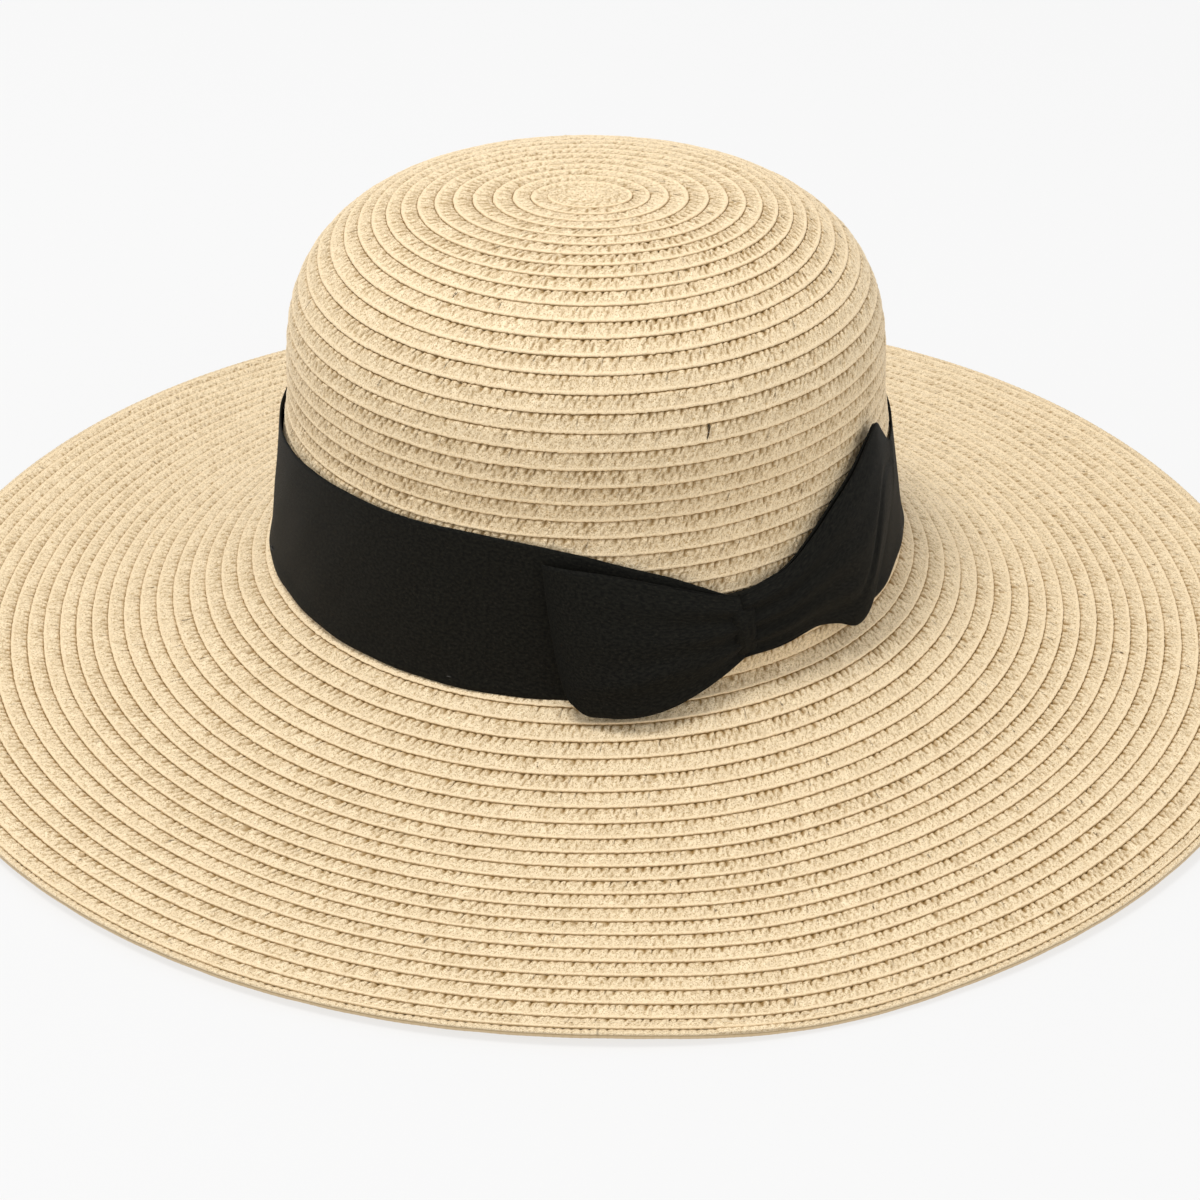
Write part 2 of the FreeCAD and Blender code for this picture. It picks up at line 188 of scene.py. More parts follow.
def mesh_object(name, points, quads, attributes=None):
    """Smooth-shaded mesh of quads, with values stored at its points for the materials."""
    mesh = bpy.data.meshes.new(name)
    mesh.vertices.add(len(points))
    mesh.vertices.foreach_set("co", np.ascontiguousarray(points, np.float32).ravel())
    mesh.loops.add(quads.size)
    mesh.loops.foreach_set("vertex_index", np.ascontiguousarray(quads, np.int32).ravel())
    mesh.polygons.add(len(quads))
    mesh.polygons.foreach_set("loop_start", np.arange(0, quads.size, 4, dtype=np.int32))
    for key, values in (attributes or {}).items():
        values = np.ascontiguousarray(values, np.float32)
        kind = "FLOAT_VECTOR" if values.ndim == 2 else "FLOAT"
        layer = mesh.attributes.new(key, kind, "POINT")
        layer.data.foreach_set("vector" if values.ndim == 2 else "value", values.ravel())
    mesh.update(calc_edges=True)
    mesh.polygons.foreach_set("use_smooth", np.full(len(quads), True))
    piece = bpy.data.objects.new(name, mesh)
    bpy.context.collection.objects.link(piece)
    return piece


def grid_quads(rows, columns, close_rows=False, close_columns=False, flip=False, first=0):
    """Quads of a grid whose points are stored row by row."""
    row = np.arange(rows if close_rows else rows - 1)
    column = np.arange(columns if close_columns else columns - 1)
    row, column = np.meshgrid(row, column, indexing="ij")
    next_row = (row + 1) % rows
    next_column = (column + 1) % columns
    quads = np.stack([row * columns + column, row * columns + next_column,
                      next_row * columns + next_column, next_row * columns + column], axis=-1)
    quads = quads.reshape(-1, 4)
    if flip:
        quads = quads[:, ::-1]
    return quads + first


def ring(count):
    """Azimuths of evenly spread points all the way round."""
    return np.arange(count) * FULL_TURN / count


def flat_coordinates(along, across):
    """Where each point lies on the flat material, for the materials' patterns."""
    return np.stack(np.broadcast_arrays(along, across, 0 * along), axis=-1)


def finish_piece(piece, material, slot, *nodes):
    """Material, body and the CAD nodes that the piece stands for; the slot argument is not used."""
    piece.data.materials.append(material)
    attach(piece, "root")
    if nodes:
        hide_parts(*nodes)


# ---- Materials ----

class Nodes:
    """Short calls for building a node material."""

    def __init__(self, name):
        self.material = bpy.data.materials.new(name)
        self.material.use_nodes = True
        self.tree = self.material.node_tree
        self.shader = self.tree.nodes["Principled BSDF"]

    def add(self, kind, **settings):
        node = self.tree.nodes.new(kind)
        for key, value in settings.items():
            setattr(node, key, value)
        return node

    def link(self, source, target):
        self.tree.links.new(source, target)

    def attribute(self, name):
        return self.add("ShaderNodeAttribute", attribute_name=name)

    def fed(self, kind, vector, inputs, **settings):
        """Outputs of a node that works on a vector, with its other inputs set."""
        node = self.add(kind, **settings)
        for name, value in inputs.items():
            node.inputs[name].default_value = value
        self.link(vector, node.inputs["Vector"])
        return node.outputs

    def noise(self, vector, detail, roughness=0.5):
        inputs = {"Scale": 1.0, "Detail": detail, "Roughness": roughness}
        return self.fed("ShaderNodeTexNoise", vector, inputs)["Fac"]

    def wave(self, vector, axis, scale, distortion, detail=2.0):
        inputs = {"Scale": scale, "Distortion": distortion, "Detail": detail}
        return self.fed("ShaderNodeTexWave", vector, inputs, bands_direction=axis)["Fac"]

    def stretch(self, vector, scale):
        return self.fed("ShaderNodeMapping", vector, {"Scale": scale})["Vector"]

    def turned(self, vector, degrees):
        inputs = {"Angle": math.radians(degrees)}
        return self.fed("ShaderNodeVectorRotate", vector, inputs, rotation_type="Z_AXIS")["Vector"]

    def ramp(self, value, stops):
        node = self.add("ShaderNodeValToRGB")
        while len(node.color_ramp.elements) < len(stops):
            node.color_ramp.elements.new(0.5)
        for element, (position, colour) in zip(node.color_ramp.elements, stops):
            element.position = position
            element.color = (*colour, 1)
        self.link(value, node.inputs["Fac"])
        return node.outputs["Color"]

    def mix(self, factor, first, second):
        node = self.add("ShaderNodeMix", data_type="RGBA")
        sockets = (node.inputs[0], node.inputs[6], node.inputs[7])
        for socket, value in zip(sockets, (factor, first, second)):
            if isinstance(value, bpy.types.NodeSocket):
                self.link(value, socket)
            elif isinstance(value, tuple):
                socket.default_value = (*value, 1)
            else:
                socket.default_value = value
        return node.outputs[2]

    def math(self, operation, first, second):
        node = self.add("ShaderNodeMath", operation=operation)
        for socket, value in zip(node.inputs, (first, second)):
            if isinstance(value, bpy.types.NodeSocket):
                self.link(value, socket)
            else:
                socket.default_value = value
        return node.outputs[0]

    def times(self, first, second):
        return self.math("MULTIPLY", first, second)

    def plus(self, first, second):
        return self.math("ADD", first, second)

    def surface(self, color, settings):
        self.link(color, self.shader.inputs["Base Color"])
        for name, value in settings.items():
            self.shader.inputs[name].default_value = value

    def bump(self, height, distance, strength):
        node = self.add("ShaderNodeBump")
        node.inputs["Distance"].default_value = distance
        node.inputs["Strength"].default_value = strength
        self.link(height, node.inputs["Height"])
        self.link(node.outputs["Normal"], self.shader.inputs["Normal"])


STRAW_LIGHT = (0.98, 0.805, 0.545)
STRAW_PLAIN = (0.90, 0.73, 0.48)
STRAW_RIDGE = (0.86, 0.68, 0.435)
STRAW_GLINT = (1.0, 0.88, 0.65)
STRAW_TAN = (0.47, 0.31, 0.13)
# painted shade colours: dark specks in the weave's pits, brown in the hollows between courses and pads
STRAW_PIT_SHADE = (0.36, 0.225, 0.09)
STRAW_HOLLOW_SHADE = (0.29, 0.165, 0.042)
BLACK = (0, 0, 0)
WHITE = (1, 1, 1)


def straw_material():
    """Paper straw: cream ridges, woven pads with fine marks, and painted shade: dark specks in the pits,
    brown in the hollows.
    """
    m = Nodes("straw_braid")
    braid = m.attribute("braid").outputs["Vector"]
    hollow_shade = m.attribute("hollow_shade").outputs["Fac"]
    tone = m.attribute("tone").outputs["Fac"]
    woven = m.attribute("woven").outputs["Fac"]
    fibres = m.noise(m.stretch(braid, (700, 2600, 1)), 3.0, 0.6)
    strands = m.noise(m.stretch(m.turned(braid, -32), (1400, 850, 1)), 3.0, 0.7)
    patches = m.noise(m.stretch(braid, (14, 45, 1)), 2.0)
    specks = m.noise(m.stretch(braid, (2500, 2100, 1)), 1.0)
    marks = m.ramp(strands, ((0.36, WHITE), (0.49, BLACK)))
    glints = m.ramp(specks, ((0.30, WHITE), (0.42, BLACK)))
    # painted shade: dark specks where the weave has tiny pits
    pit_shade = m.ramp(specks, ((0.57, BLACK), (0.66, WHITE)))
    base = m.mix(tone, STRAW_PLAIN, STRAW_LIGHT)
    base = m.mix(m.times(patches, 0.30), base, STRAW_LIGHT)
    base = m.mix(woven, STRAW_RIDGE, base)
    base = m.mix(m.times(marks, m.times(woven, 0.80)), base, STRAW_TAN)
    base = m.mix(m.times(fibres, 0.14), base, STRAW_TAN)
    base = m.mix(m.times(glints, m.times(woven, 0.55)), base, STRAW_GLINT)
    base = m.mix(m.times(pit_shade, m.times(woven, 0.70)), base, STRAW_PIT_SHADE)
    # painted shade: colour darkened to brown in the hollows and slits, where shade falls
    m.surface(m.mix(hollow_shade, base, STRAW_HOLLOW_SHADE), {"Roughness": 0.55, "Specular IOR Level": 0.42})
    m.bump(m.plus(m.times(strands, woven), m.times(fibres, 0.25)), 0.45 * MM, 1.0)
    return m.material


def ribbon_material():
    """Matte black plain weave with slightly uneven threads and pale flecks of painted sheen glints."""
    m = Nodes("ribbon_weave")
    cloth = m.attribute("cloth").outputs["Vector"]
    warp = m.wave(cloth, "X", 1250, 0.6, 1.0)
    weft = m.wave(cloth, "Y", 1250, 0.6, 1.0)
    weave = m.times(warp, weft)
    glint_flecks = m.math("GREATER_THAN", m.noise(m.stretch(cloth, (1500, 1500, 1)), 0.0), 0.735)
    uneven = m.noise(m.stretch(cloth, (900, 1300, 1)), 2.0)
    mottling = m.ramp(uneven, ((0.38, BLACK), (0.62, WHITE)))
    base = m.mix(mottling, (0.0012, 0.0012, 0.0007), (0.0080, 0.0078, 0.0055))
    base = m.mix(m.times(weave, 0.3), base, (0.0085, 0.0080, 0.0056))
    # painted highlight: pale glints of the weave's sheen
    base = m.mix(m.times(glint_flecks, 0.12), base, (0.07, 0.06, 0.042))
    m.surface(base, {"Roughness": 0.70, "Specular IOR Level": 0.10, "Sheen Weight": 0.015,
                     "Sheen Roughness": 0.5})
    m.bump(weave, 0.06 * MM, 0.7)
    return m.material


def tape_material(name, light, dark, ribs, roughness=0.8):
    """Cotton tape with fine ribs across it."""
    m = Nodes(name)
    cloth = m.attribute("cloth").outputs["Vector"]
    rib = m.wave(cloth, "X", ribs, 0.4)
    weft = m.noise(m.stretch(cloth, (600, 2600, 1)), 2.0)
    body = m.plus(m.times(rib, 0.7), m.times(weft, 0.3))
    m.surface(m.mix(body, dark, light), {"Roughness": roughness, "Sheen Weight": 0.1})
    m.bump(body, 0.1 * MM, 0.6)
    return m.material


def thread_material(name, light, dark):
    """Spun sewing thread."""
    m = Nodes(name)
    position = m.add("ShaderNodeTexCoord").outputs["Object"]
    twist = m.noise(m.stretch(position, (2200, 2200, 2200)), 1.0)
    m.surface(m.mix(twist, dark, light), {"Roughness": 0.55})
    m.bump(twist, 0.05 * MM, 0.5)
    return m.material


STRAW = straw_material()
RIBBON = ribbon_material()
TAPE = tape_material("sweatband_tape", (0.78, 0.70, 0.56), (0.60, 0.52, 0.39), 420)
BINDING = tape_material("sweatband_binding", (0.66, 0.56, 0.40), (0.50, 0.41, 0.28), 900)
LABEL = tape_material("label_satin", (0.88, 0.87, 0.83), (0.78, 0.77, 0.72), 1800, 0.45)
STRAW_THREAD = thread_material("straw_thread", (0.84, 0.72, 0.52), (0.66, 0.52, 0.33))
CREAM_THREAD = thread_material("cream_thread", (0.86, 0.80, 0.68), (0.70, 0.62, 0.48))
BLACK_THREAD = thread_material("black_thread", (0.02, 0.02, 0.018), (0.008, 0.008, 0.007))

# ---- Straw braid, one spiral from the tip to the edge ----

SPIRAL_END = EDGE_LENGTH - EDGE_COURSE_WIDTH
SPIRAL_START_AZIMUTH = math.radians(-29)
TURNS = SPIRAL_END / COURSE_PITCH
# distance from the tip and how far the courses lie inside their even spacing, both in mm
COURSE_SHIFTS = ((0, 1.35), (120, 1.35), (EDGE_LENGTH / MM - 112, 2.6), (EDGE_LENGTH / MM - 72, 0))

# share of the course's width, height in mm, how deep the upper and the lower slits between
# the pads are, painted shade in the hollows, how woven it looks
OUTER_SECTION = (
    (-0.05, 0.12, 0.00, 0.00, 1.00, 0.0),
    (0.02, 0.34, 0.42, 0.00, 0.70, 0.3),
    (0.09, 0.62, 0.74, 0.00, 0.16, 0.8),
    (0.20, 0.78, 0.60, 0.06, 0.03, 1.0),
    (0.34, 0.75, 0.30, 0.22, 0.05, 1.0),
    (0.48, 0.72, 0.04, 0.42, 0.04, 1.0),
    (0.62, 0.68, 0.00, 0.36, 0.05, 1.0),
    (0.76, 0.64, 0.00, 0.20, 0.08, 0.9),
    (0.85, 0.80, 0.00, 0.06, 0.02, 0.50),
    (0.92, 0.92, 0.00, 0.00, 0.00, 0.35),
    (0.985, 0.76, 0.00, 0.00, 0.06, 0.35),
    (0.995, 0.22, 0.00, 0.00, 0.95, 0.0),
)
INNER_SECTION = (
    (-0.46, -0.60, 0.00, 0.00, 0.60, 0.0),
    (-0.44, -1.10, 0.00, 0.04, 0.10, 0.2),
    (-0.36, -1.20, 0.00, 0.08, 0.05, 0.2),
    (-0.05, -1.05, 0.10, 0.10, 0.15, 1.0),
    (0.25, -0.85, 0.10, 0.10, 0.20, 1.0),
    (0.54, -0.62, 0.00, 0.00, 0.60, 0.3),
)
PAD_SHAPE = np.array([1.0, 0.20, 0.0, 0.16])   # depth at the columns of one pad, slit first
PAD_SLANT = -0.50                               # pads of slant across the whole course
SMOOTH_SHARE_AT_TIP = 0.30                      # how much wider the smooth ridge is at the tip
# distances from the tip between which these fade out: the wide ridge, and the painted shade of the
# pinholes and of the crown's slits
WIDE_RIDGE_FADE = (50 * MM, 125 * MM)
PINHOLE_SHADE_FADE = (45 * MM, 80 * MM)
CROWN_SLIT_SHADE_FADE = (150 * MM, 190 * MM)
DRIFT_PADS = 22                                 # pads over which the braid's character changes


def course_start(turn):
    """Distance from the tip to the upper edge of the braid after so many turns."""
    even = turn * COURSE_PITCH
    known, shifts = zip(*COURSE_SHIFTS)
    return np.clip(even - np.interp(even / MM, known, shifts) * MM, 0, SPIRAL_END)


def braid_turns():
    """Turns at which whole pads of braid begin."""
    turn = np.linspace(0, TURNS, 60000)
    radius = np.interp(course_start(turn) + COURSE_PITCH / 2, FORM_LENGTH, FORM_RADIUS)
    run = np.concatenate([[0], np.cumsum(np.diff(turn) * FULL_TURN * (radius[1:] + radius[:-1]) / 2)])
    pads = int(run[-1] / PAD_LENGTH)
    return np.interp(np.arange(pads + 1) * PAD_LENGTH, run, turn)


def turn_at(turns, share):
    """Turn of the spiral at a fractional pad, carried on in a straight line past both ends."""
    last = len(turns) - 1
    turn = np.interp(share, np.arange(last + 1), turns)
    turn = np.where(share < 0, turns[0] + share * (turns[1] - turns[0]), turn)
    return np.where(share > last, turns[-1] + (share - last) * (turns[-1] - turns[-2]), turn)


def drift(rng, count):
    """Slow random change along the braid, about -1 to 1."""
    knots = rng.uniform(-1, 1, count // DRIFT_PADS + 3)
    return np.interp(np.arange(count) / DRIFT_PADS, np.arange(len(knots)), knots)


class StrawRows:
    """Rows of points across a strip of straw, with what its material reads at each point."""

    def __init__(self):
        self.points = []
        self.layers = {"hollow_shade": [], "tone": [], "woven": [], "braid": []}

    def add(self, points, hollow_shade, tone, woven, along, across):
        self.points.append(points)
        self.layers["hollow_shade"].append(np.clip(hollow_shade, 0, 1))
        self.layers["tone"].append(np.clip(tone, 0, 1))
        self.layers["woven"].append(np.full(len(along), woven, float))
        self.layers["braid"].append(flat_coordinates(along, across))

    def mesh(self, name, quads):
        attributes = {key: np.concatenate(values) for key, values in self.layers.items()}
        return mesh_object(name, np.concatenate(self.points), quads, attributes)


def braid_strip(name, turns, section, columns_per_pad, rng, first_pad):
    """A stretch of braid between two of its pads."""
    pads = len(turns) - 1
    share = np.arange(pads * columns_per_pad + 1) / columns_per_pad
    pad = np.minimum(share.astype(int), pads - 1)
    within = (np.arange(len(share)) * len(PAD_SHAPE) // columns_per_pad) % len(PAD_SHAPE)
    strength = 1 + 0.45 * drift(rng, pads + 1)
    upper_depth = strength * rng.uniform(0.20, 1.30, pads + 1)
    lower_depth = strength * rng.uniform(0.10, 1.20, pads + 1)
    lift_of_pad = rng.normal(0, 0.07, pads + 1)
    tone_of_pad = np.clip(rng.normal(0.62, 0.36, pads + 1), 0, 1)
    slide = 0.26 * rng.normal(0, 1, pads + 1)
    upper_slit = PAD_SHAPE[within] * upper_depth[pad]
    lower_slit = np.roll(PAD_SHAPE[within] * lower_depth[pad], columns_per_pad // 2)
    wobble_turn = np.interp(share, np.arange(pads + 1), turns)
    wobble = np.sin(wobble_turn * FULL_TURN * 7.3) * 0.5 + np.sin(wobble_turn * FULL_TURN * 17.9) * 0.5
    ragged = rng.normal(0, 1, len(share))
    rows = StrawRows()
    for across, height, upper, lower, hollow_shade, woven in section:
        rough = woven * rng.normal(0, 0.075, len(share))
        slanted = share + PAD_SLANT * (across - 0.5) + slide[pad] * woven * (upper + lower)
        turn = turn_at(turns, slanted)
        start = course_start(turn)
        width = course_start(turn + 1) - start
        wide_ridge = 1 - smoothstep(*WIDE_RIDGE_FADE, start)
        spread = max(across, 0) ** (1 + SMOOTH_SHARE_AT_TIP * wide_ridge) + min(across, 0)
        jitter = 0.010 * rng.normal(0, 1, len(share)) * woven
        if 0.8 < across < 1.01:
            jitter = 0.014 * wobble + 0.014 * ragged
        rise = height - upper * upper_slit - lower * lower_slit + lift_of_pad[pad] * woven + rough
        rise = rise + (0.05 * wobble if across > 0.7 else 0)
        taper = np.clip(width / COURSE_PITCH * 3, 0, 1)
        points = place(start + (spread + jitter) * width, SPIRAL_START_AZIMUTH + turn * FULL_TURN,
                       rise * taper * MM)
        # painted shade in the hollows and slits, stronger at the tip's pinholes and on the crown
        pinhole_shade = 1 - smoothstep(*PINHOLE_SHADE_FADE, start)
        on_crown = 1 - smoothstep(*CROWN_SLIT_SHADE_FADE, start)
        upper_shade = upper * upper_slit * (1.9 + 0.5 * on_crown)
        lower_shade = lower * lower_slit * (1.15 + 0.25 * on_crown + 1.2 * pinhole_shade)
        shade = hollow_shade * (1 + 0.40 * ragged) + (upper_shade + lower_shade) - 1.2 * rough
        tone = tone_of_pad[pad] * woven + 0.95 * (1 - woven)
        rows.add(points, shade, tone, woven, (first_pad + slanted) * PAD_LENGTH, across * COURSE_PITCH)
    outside = section is OUTER_SECTION
    return rows.mesh(name, grid_quads(len(section), len(share), flip=outside))


# name, distance from the tip to its end, CAD nodes
ZONES = (
    ("tip", 46.0 * MM, ("crown_tip_braid",)),
    ("shoulder", 98.0 * MM, ("crown_shoulder_braid",)),
    ("wall", 135.0 * MM, ("crown_wall_braid",)),
    ("base", 184.0 * MM, ("crown_base_braid",)),
    ("brim", EDGE_LENGTH, ("brim_braid",)),
)


def make_straw():
    """The sewn spiral, zone by zone, outside and inside."""
    turns = braid_turns()
    starts = course_start(turns)
    rng = np.random.default_rng(11)
    first_of_zone = 0
    for zone, zone_length, nodes in ZONES:
        last_of_zone = min(int(np.searchsorted(starts, zone_length)), len(turns) - 1)
        faces = (last_of_zone - first_of_zone) * COLUMNS_PER_PAD * (len(OUTER_SECTION) - 1)
        count = max(1, math.ceil(faces / PIECE_FACES))
        cuts = np.linspace(first_of_zone, last_of_zone, count + 1).astype(int)
        for number, (first, last) in enumerate(zip(cuts, cuts[1:]), 1):
            piece = braid_strip(f"straw_{zone}_{number}", turns[first:last + 1], OUTER_SECTION,
                                COLUMNS_PER_PAD, rng, first)
            finish_piece(piece, STRAW, "straw", *nodes)
        piece = braid_strip(f"straw_{zone}_inside", turns[first_of_zone:last_of_zone + 1], INNER_SECTION,
                            INNER_COLUMNS_PER_PAD, rng, first_of_zone)
        finish_piece(piece, STRAW, "straw")
        first_of_zone = last_of_zone


def make_button():
    """Start of the braid, curled up and flattened into the oval in the middle of the tip."""
    rows, columns = 26, 96
    rng = np.random.default_rng(13)
    out = np.linspace(0, 1, rows)[:, None]
    azimuth = ring(columns)[None, :]
    coil = out * 3.4 - azimuth / FULL_TURN
    groove = np.cos(coil * FULL_TURN) * 0.5 + 0.5
    pads = np.cos(azimuth * np.round(6 + 16 * out) + 9 * out) * 0.5 + 0.5
    rough = rng.normal(0, 0.10, (rows, columns)) * (out > 0.06)
    dome = 1.45 - 0.55 * out ** 2
    rim = smoothstep(1.0, 0.93, out)
    rise = (dome - 0.34 * groove * smoothstep(0, 0.2, out) - 0.24 * pads * out + rough) * rim
    length = out * BUTTON_RADIUS * (1 + 0.05 * np.sin(3 * azimuth + 1))
    points = place(length, azimuth, rise * MM)
    # painted shade in the coil's groove, between the pads and round the rim
    hollow_shade = np.clip(0.55 * groove ** 4 * out + 0.70 * pads ** 6 * out + (1 - rim) - 2 * rough, 0, 1)
    coordinates = flat_coordinates(length * np.cos(azimuth), length * np.sin(azimuth))
    attributes = {"hollow_shade": hollow_shade.ravel(), "tone": np.full(rows * columns, 0.7),
                  "woven": np.ones(rows * columns), "braid": coordinates.reshape(-1, 3)}
    quads = grid_quads(rows, columns, close_columns=True, flip=True)
    piece = mesh_object("straw_button", points.reshape(-1, 3), quads, attributes)
    finish_piece(piece, STRAW, "straw", "tip_button")


# distance from the brim edge in mm, height in mm, slit depth, painted shade in the hollows
EDGE_SECTION = (
    (3.6, -0.10, 0.00, 0.80),
    (2.2, -0.05, 0.15, 0.70),
    (1.75, 0.30, 0.34, 0.20),
    (1.35, 0.48, 0.24, 0.05),
    (0.95, 0.52, 0.20, 0.04),
    (0.50, 0.46, 0.18, 0.04),
    (0.0, 0.26, 0.12, 0.06),
    (-0.3, -0.04, 0.08, 0.12),
    (-0.1, -0.24, 0.00, 0.80),
    (-0.2, -0.50, 0.05, 0.40),
    (0.0, -1.25, 0.05, 0.30),
    (1.2, -1.55, 0.05, 0.15),
    (3.0, -1.75, 0.18, 0.20),
    (5.2, -1.75, 0.18, 0.20),
    (6.6, -1.55, 0.05, 0.15),
    (6.9, -0.70, 0.00, 0.70),
)
PLAIN_SLIT_DEPTH = 0.07        # rows with shallower slits look plain, not woven


def make_edge():
    """Doubled rim: a narrow row under the last course, and the braid turned under it."""
    rng = np.random.default_rng(12)
    pads = int(FULL_TURN * BRIM_RADIUS / PAD_LENGTH)
    columns = pads * COLUMNS_PER_PAD
    share = np.arange(columns) / COLUMNS_PER_PAD
    pad = share.astype(int)
    depth = rng.uniform(0.5, 1.3, pads)[pad]
    tone = rng.normal(0.65, 0.2, pads)[pad]
    slit = PAD_SHAPE[np.arange(columns) % len(PAD_SHAPE)] * depth
    azimuth = share / pads * FULL_TURN
    wobble = np.sin(azimuth * 31) * 0.5 + np.sin(azimuth * 83 + 1) * 0.5
    rows = StrawRows()
    for number, (inset, height, slit_depth, hollow_shade) in enumerate(EDGE_SECTION):
        length = EDGE_LENGTH - (inset + 0.08 * wobble) * MM
        rise = (height - slit_depth * slit + 0.04 * wobble) * MM
        # painted shade in the hollows and slits of the rim
        rows.add(place(length, azimuth, rise), hollow_shade + slit_depth * slit, tone,
                 slit_depth > PLAIN_SLIT_DEPTH, share * PAD_LENGTH, number * MM)
    piece = rows.mesh("straw_edge", grid_quads(len(EDGE_SECTION), columns, close_columns=True, flip=True))
    finish_piece(piece, STRAW, "straw", "brim_edge_braid", "brim_edge_underlay")


def tube(name, path, outward, radius, sides, closed=False):
    """Round thread along a path of points; outward is any direction across it at each point."""
    along = np.roll(path, -1, axis=0) - np.roll(path, 1, axis=0)
    if not closed:
        along[0] = path[1] - path[0]
        along[-1] = path[-1] - path[-2]
    along /= np.linalg.norm(along, axis=1, keepdims=True)
    side = np.cross(along, outward)
    side /= np.linalg.norm(side, axis=1, keepdims=True)
    up = np.cross(side, along)
    rings = []
    for number in range(sides):
        angle = FULL_TURN * number / sides
        rings.append(path + radius * (math.cos(angle) * side + math.sin(angle) * up))
    quads = grid_quads(sides, len(path), close_rows=True, close_columns=closed, flip=True)
    return mesh_object(name, np.concatenate(rings), quads)


STRAW_THREAD_RADIUS = 0.17 * MM
SEAM_PLACE = 0.50              # where the seam runs across a course


def make_seam_threads():
    """Lockstitch inside the hat: it shows on every other pad of the braid."""
    turns = braid_turns()
    shown = np.where(np.arange(len(turns)) % 2 == 0, -1.05, -0.55) * MM
    start = course_start(turns)
    width = course_start(turns + 1) - start
    azimuth = SPIRAL_START_AZIMUTH + turns * FULL_TURN
    length = start + SEAM_PLACE * width
    keep = width > 0.4 * COURSE_PITCH
    path = place(length, azimuth, shown)[keep]
    inward = (place(length, azimuth, 0 * MM) - place(length, azimuth, 1 * MM))[keep]
    crown_end = int(np.searchsorted(length[keep], length_at_height(CROWN_BASE_HEIGHT)))
    for name, node, part in (("crown_seam_stitches", "crown_seam_thread", slice(24, crown_end)),
                             ("brim_seam_stitches", "brim_seam_thread", slice(crown_end, None))):
        piece = tube(name, path[part], inward[part], STRAW_THREAD_RADIUS, 4)
        finish_piece(piece, STRAW_THREAD, "straw_thread", node)


EDGE_STITCH_PITCH = 4.2 * MM
EDGE_STITCH_INSET = 3.9 * MM   # from the brim edge
EDGE_THREAD_RADIUS = 0.12 * MM


def make_edge_stitches():
    """Topstitching beside the rim, sunk between its stitches."""
    count = 2 * int(FULL_TURN * BRIM_RADIUS / EDGE_STITCH_PITCH)
    azimuth = ring(count)
    shown = np.where(np.arange(count) % 2 == 0, 0.70, 0.45) * MM
    length = np.full(count, EDGE_LENGTH - EDGE_STITCH_INSET)
    path = place(length, azimuth, shown)
    outward = place(length, azimuth, shown + 1 * MM) - path
    piece = tube("edge_stitches", path, outward, EDGE_THREAD_RADIUS, 5, closed=True)
    finish_piece(piece, STRAW_THREAD, "straw_thread", "edge_topstitch")


TAIL_LENGTH = 19 * MM
TAIL_WIDTH = 2.5 * MM
TAIL_WEAVE_WIDTH = 2.7 * MM
TAIL_INSET = 1.9 * MM          # from the brim edge to the tail's inner side
TAIL_AZIMUTH = math.radians(8.2)


def make_tail():
    """Cut end of the braid, stitched down over the edge near the front."""
    columns, rows = 90, 9
    along = np.linspace(0, 1, columns)
    across = np.linspace(0, 1, rows)
    across, along = np.meshgrid(across, along, indexing="ij")
    length = EDGE_LENGTH - TAIL_INSET + TAIL_WIDTH * across
    azimuth = TAIL_AZIMUTH + along * TAIL_LENGTH / BRIM_RADIUS
    ends = np.clip(np.minimum(along, 1 - along) * 12, 0, 1) ** 0.5
    sides = np.clip(np.minimum(across, 1 - across) * 5, 0, 1) ** 0.5
    pads = np.abs(np.sin(along * math.pi * TAIL_LENGTH / PAD_LENGTH + across * 1.2))
    rise = 0.15 + (0.55 + 0.30 * pads) * ends * sides
    points = place(length, azimuth, rise * MM).reshape(-1, 3)
    coordinates = flat_coordinates(along * TAIL_LENGTH, across * TAIL_WEAVE_WIDTH)
    # painted shade round the tail's edges and between its pads
    attributes = {"hollow_shade": (0.5 * (1 - ends * sides) + 0.25 * (1 - pads)).ravel(),
                  "tone": np.full(len(points), 0.75), "woven": np.ones(len(points)),
                  "braid": coordinates.reshape(-1, 3)}
    piece = mesh_object("straw_tail", points, grid_quads(rows, columns, flip=True), attributes)
    finish_piece(piece, STRAW, "straw", "braid_tail")


# ---- Cloth pieces ----

def unit(vectors):
    return vectors / np.maximum(np.linalg.norm(vectors, axis=-1, keepdims=True), 1e-12)


def cloth(name, front, thickness, coordinates, close_columns=False):
    """Closed skin of a grid of points on its face, as thick as the cloth."""
    rows, columns = front.shape[:2]
    across = np.gradient(front, axis=0)
    if close_columns:
        along = np.roll(front, -1, axis=1) - np.roll(front, 1, axis=1)
    else:
        along = np.gradient(front, axis=1)
    normal = unit(np.cross(along, across))
    back = front - normal * thickness
    points = np.concatenate([front.reshape(-1, 3), back.reshape(-1, 3)])
    size = rows * columns
    quads = [grid_quads(rows, columns, close_columns=close_columns),
             grid_quads(rows, columns, close_columns=close_columns, flip=True, first=size)]
    last = columns if close_columns else columns - 1
    low = np.arange(last)
    low_next = (low + 1) % columns
    high = low + (rows - 1) * columns
    high_next = low_next + (rows - 1) * columns
    quads.append(np.stack([low_next, low, low + size, low_next + size], axis=-1))
    quads.append(np.stack([high, high_next, high_next + size, high + size], axis=-1))
    if not close_columns:
        left = np.arange(rows - 1) * columns
        right = left + columns - 1
        quads.append(np.stack([left, left + columns, left + columns + size, left + size], axis=-1))
        quads.append(np.stack([right + columns, right, right + size, right + columns + size], axis=-1))
    weave = np.concatenate([coordinates.reshape(-1, 3)] * 2)
    return mesh_object(name, points, np.concatenate(quads), {"cloth": weave})


def wall_radius(height):
    """Radius of the crown's middle surface; below the band it stays as at the band's foot."""
    return np.interp(length_at_height(np.maximum(height, BAND_BOTTOM)), FORM_LENGTH, FORM_RADIUS)


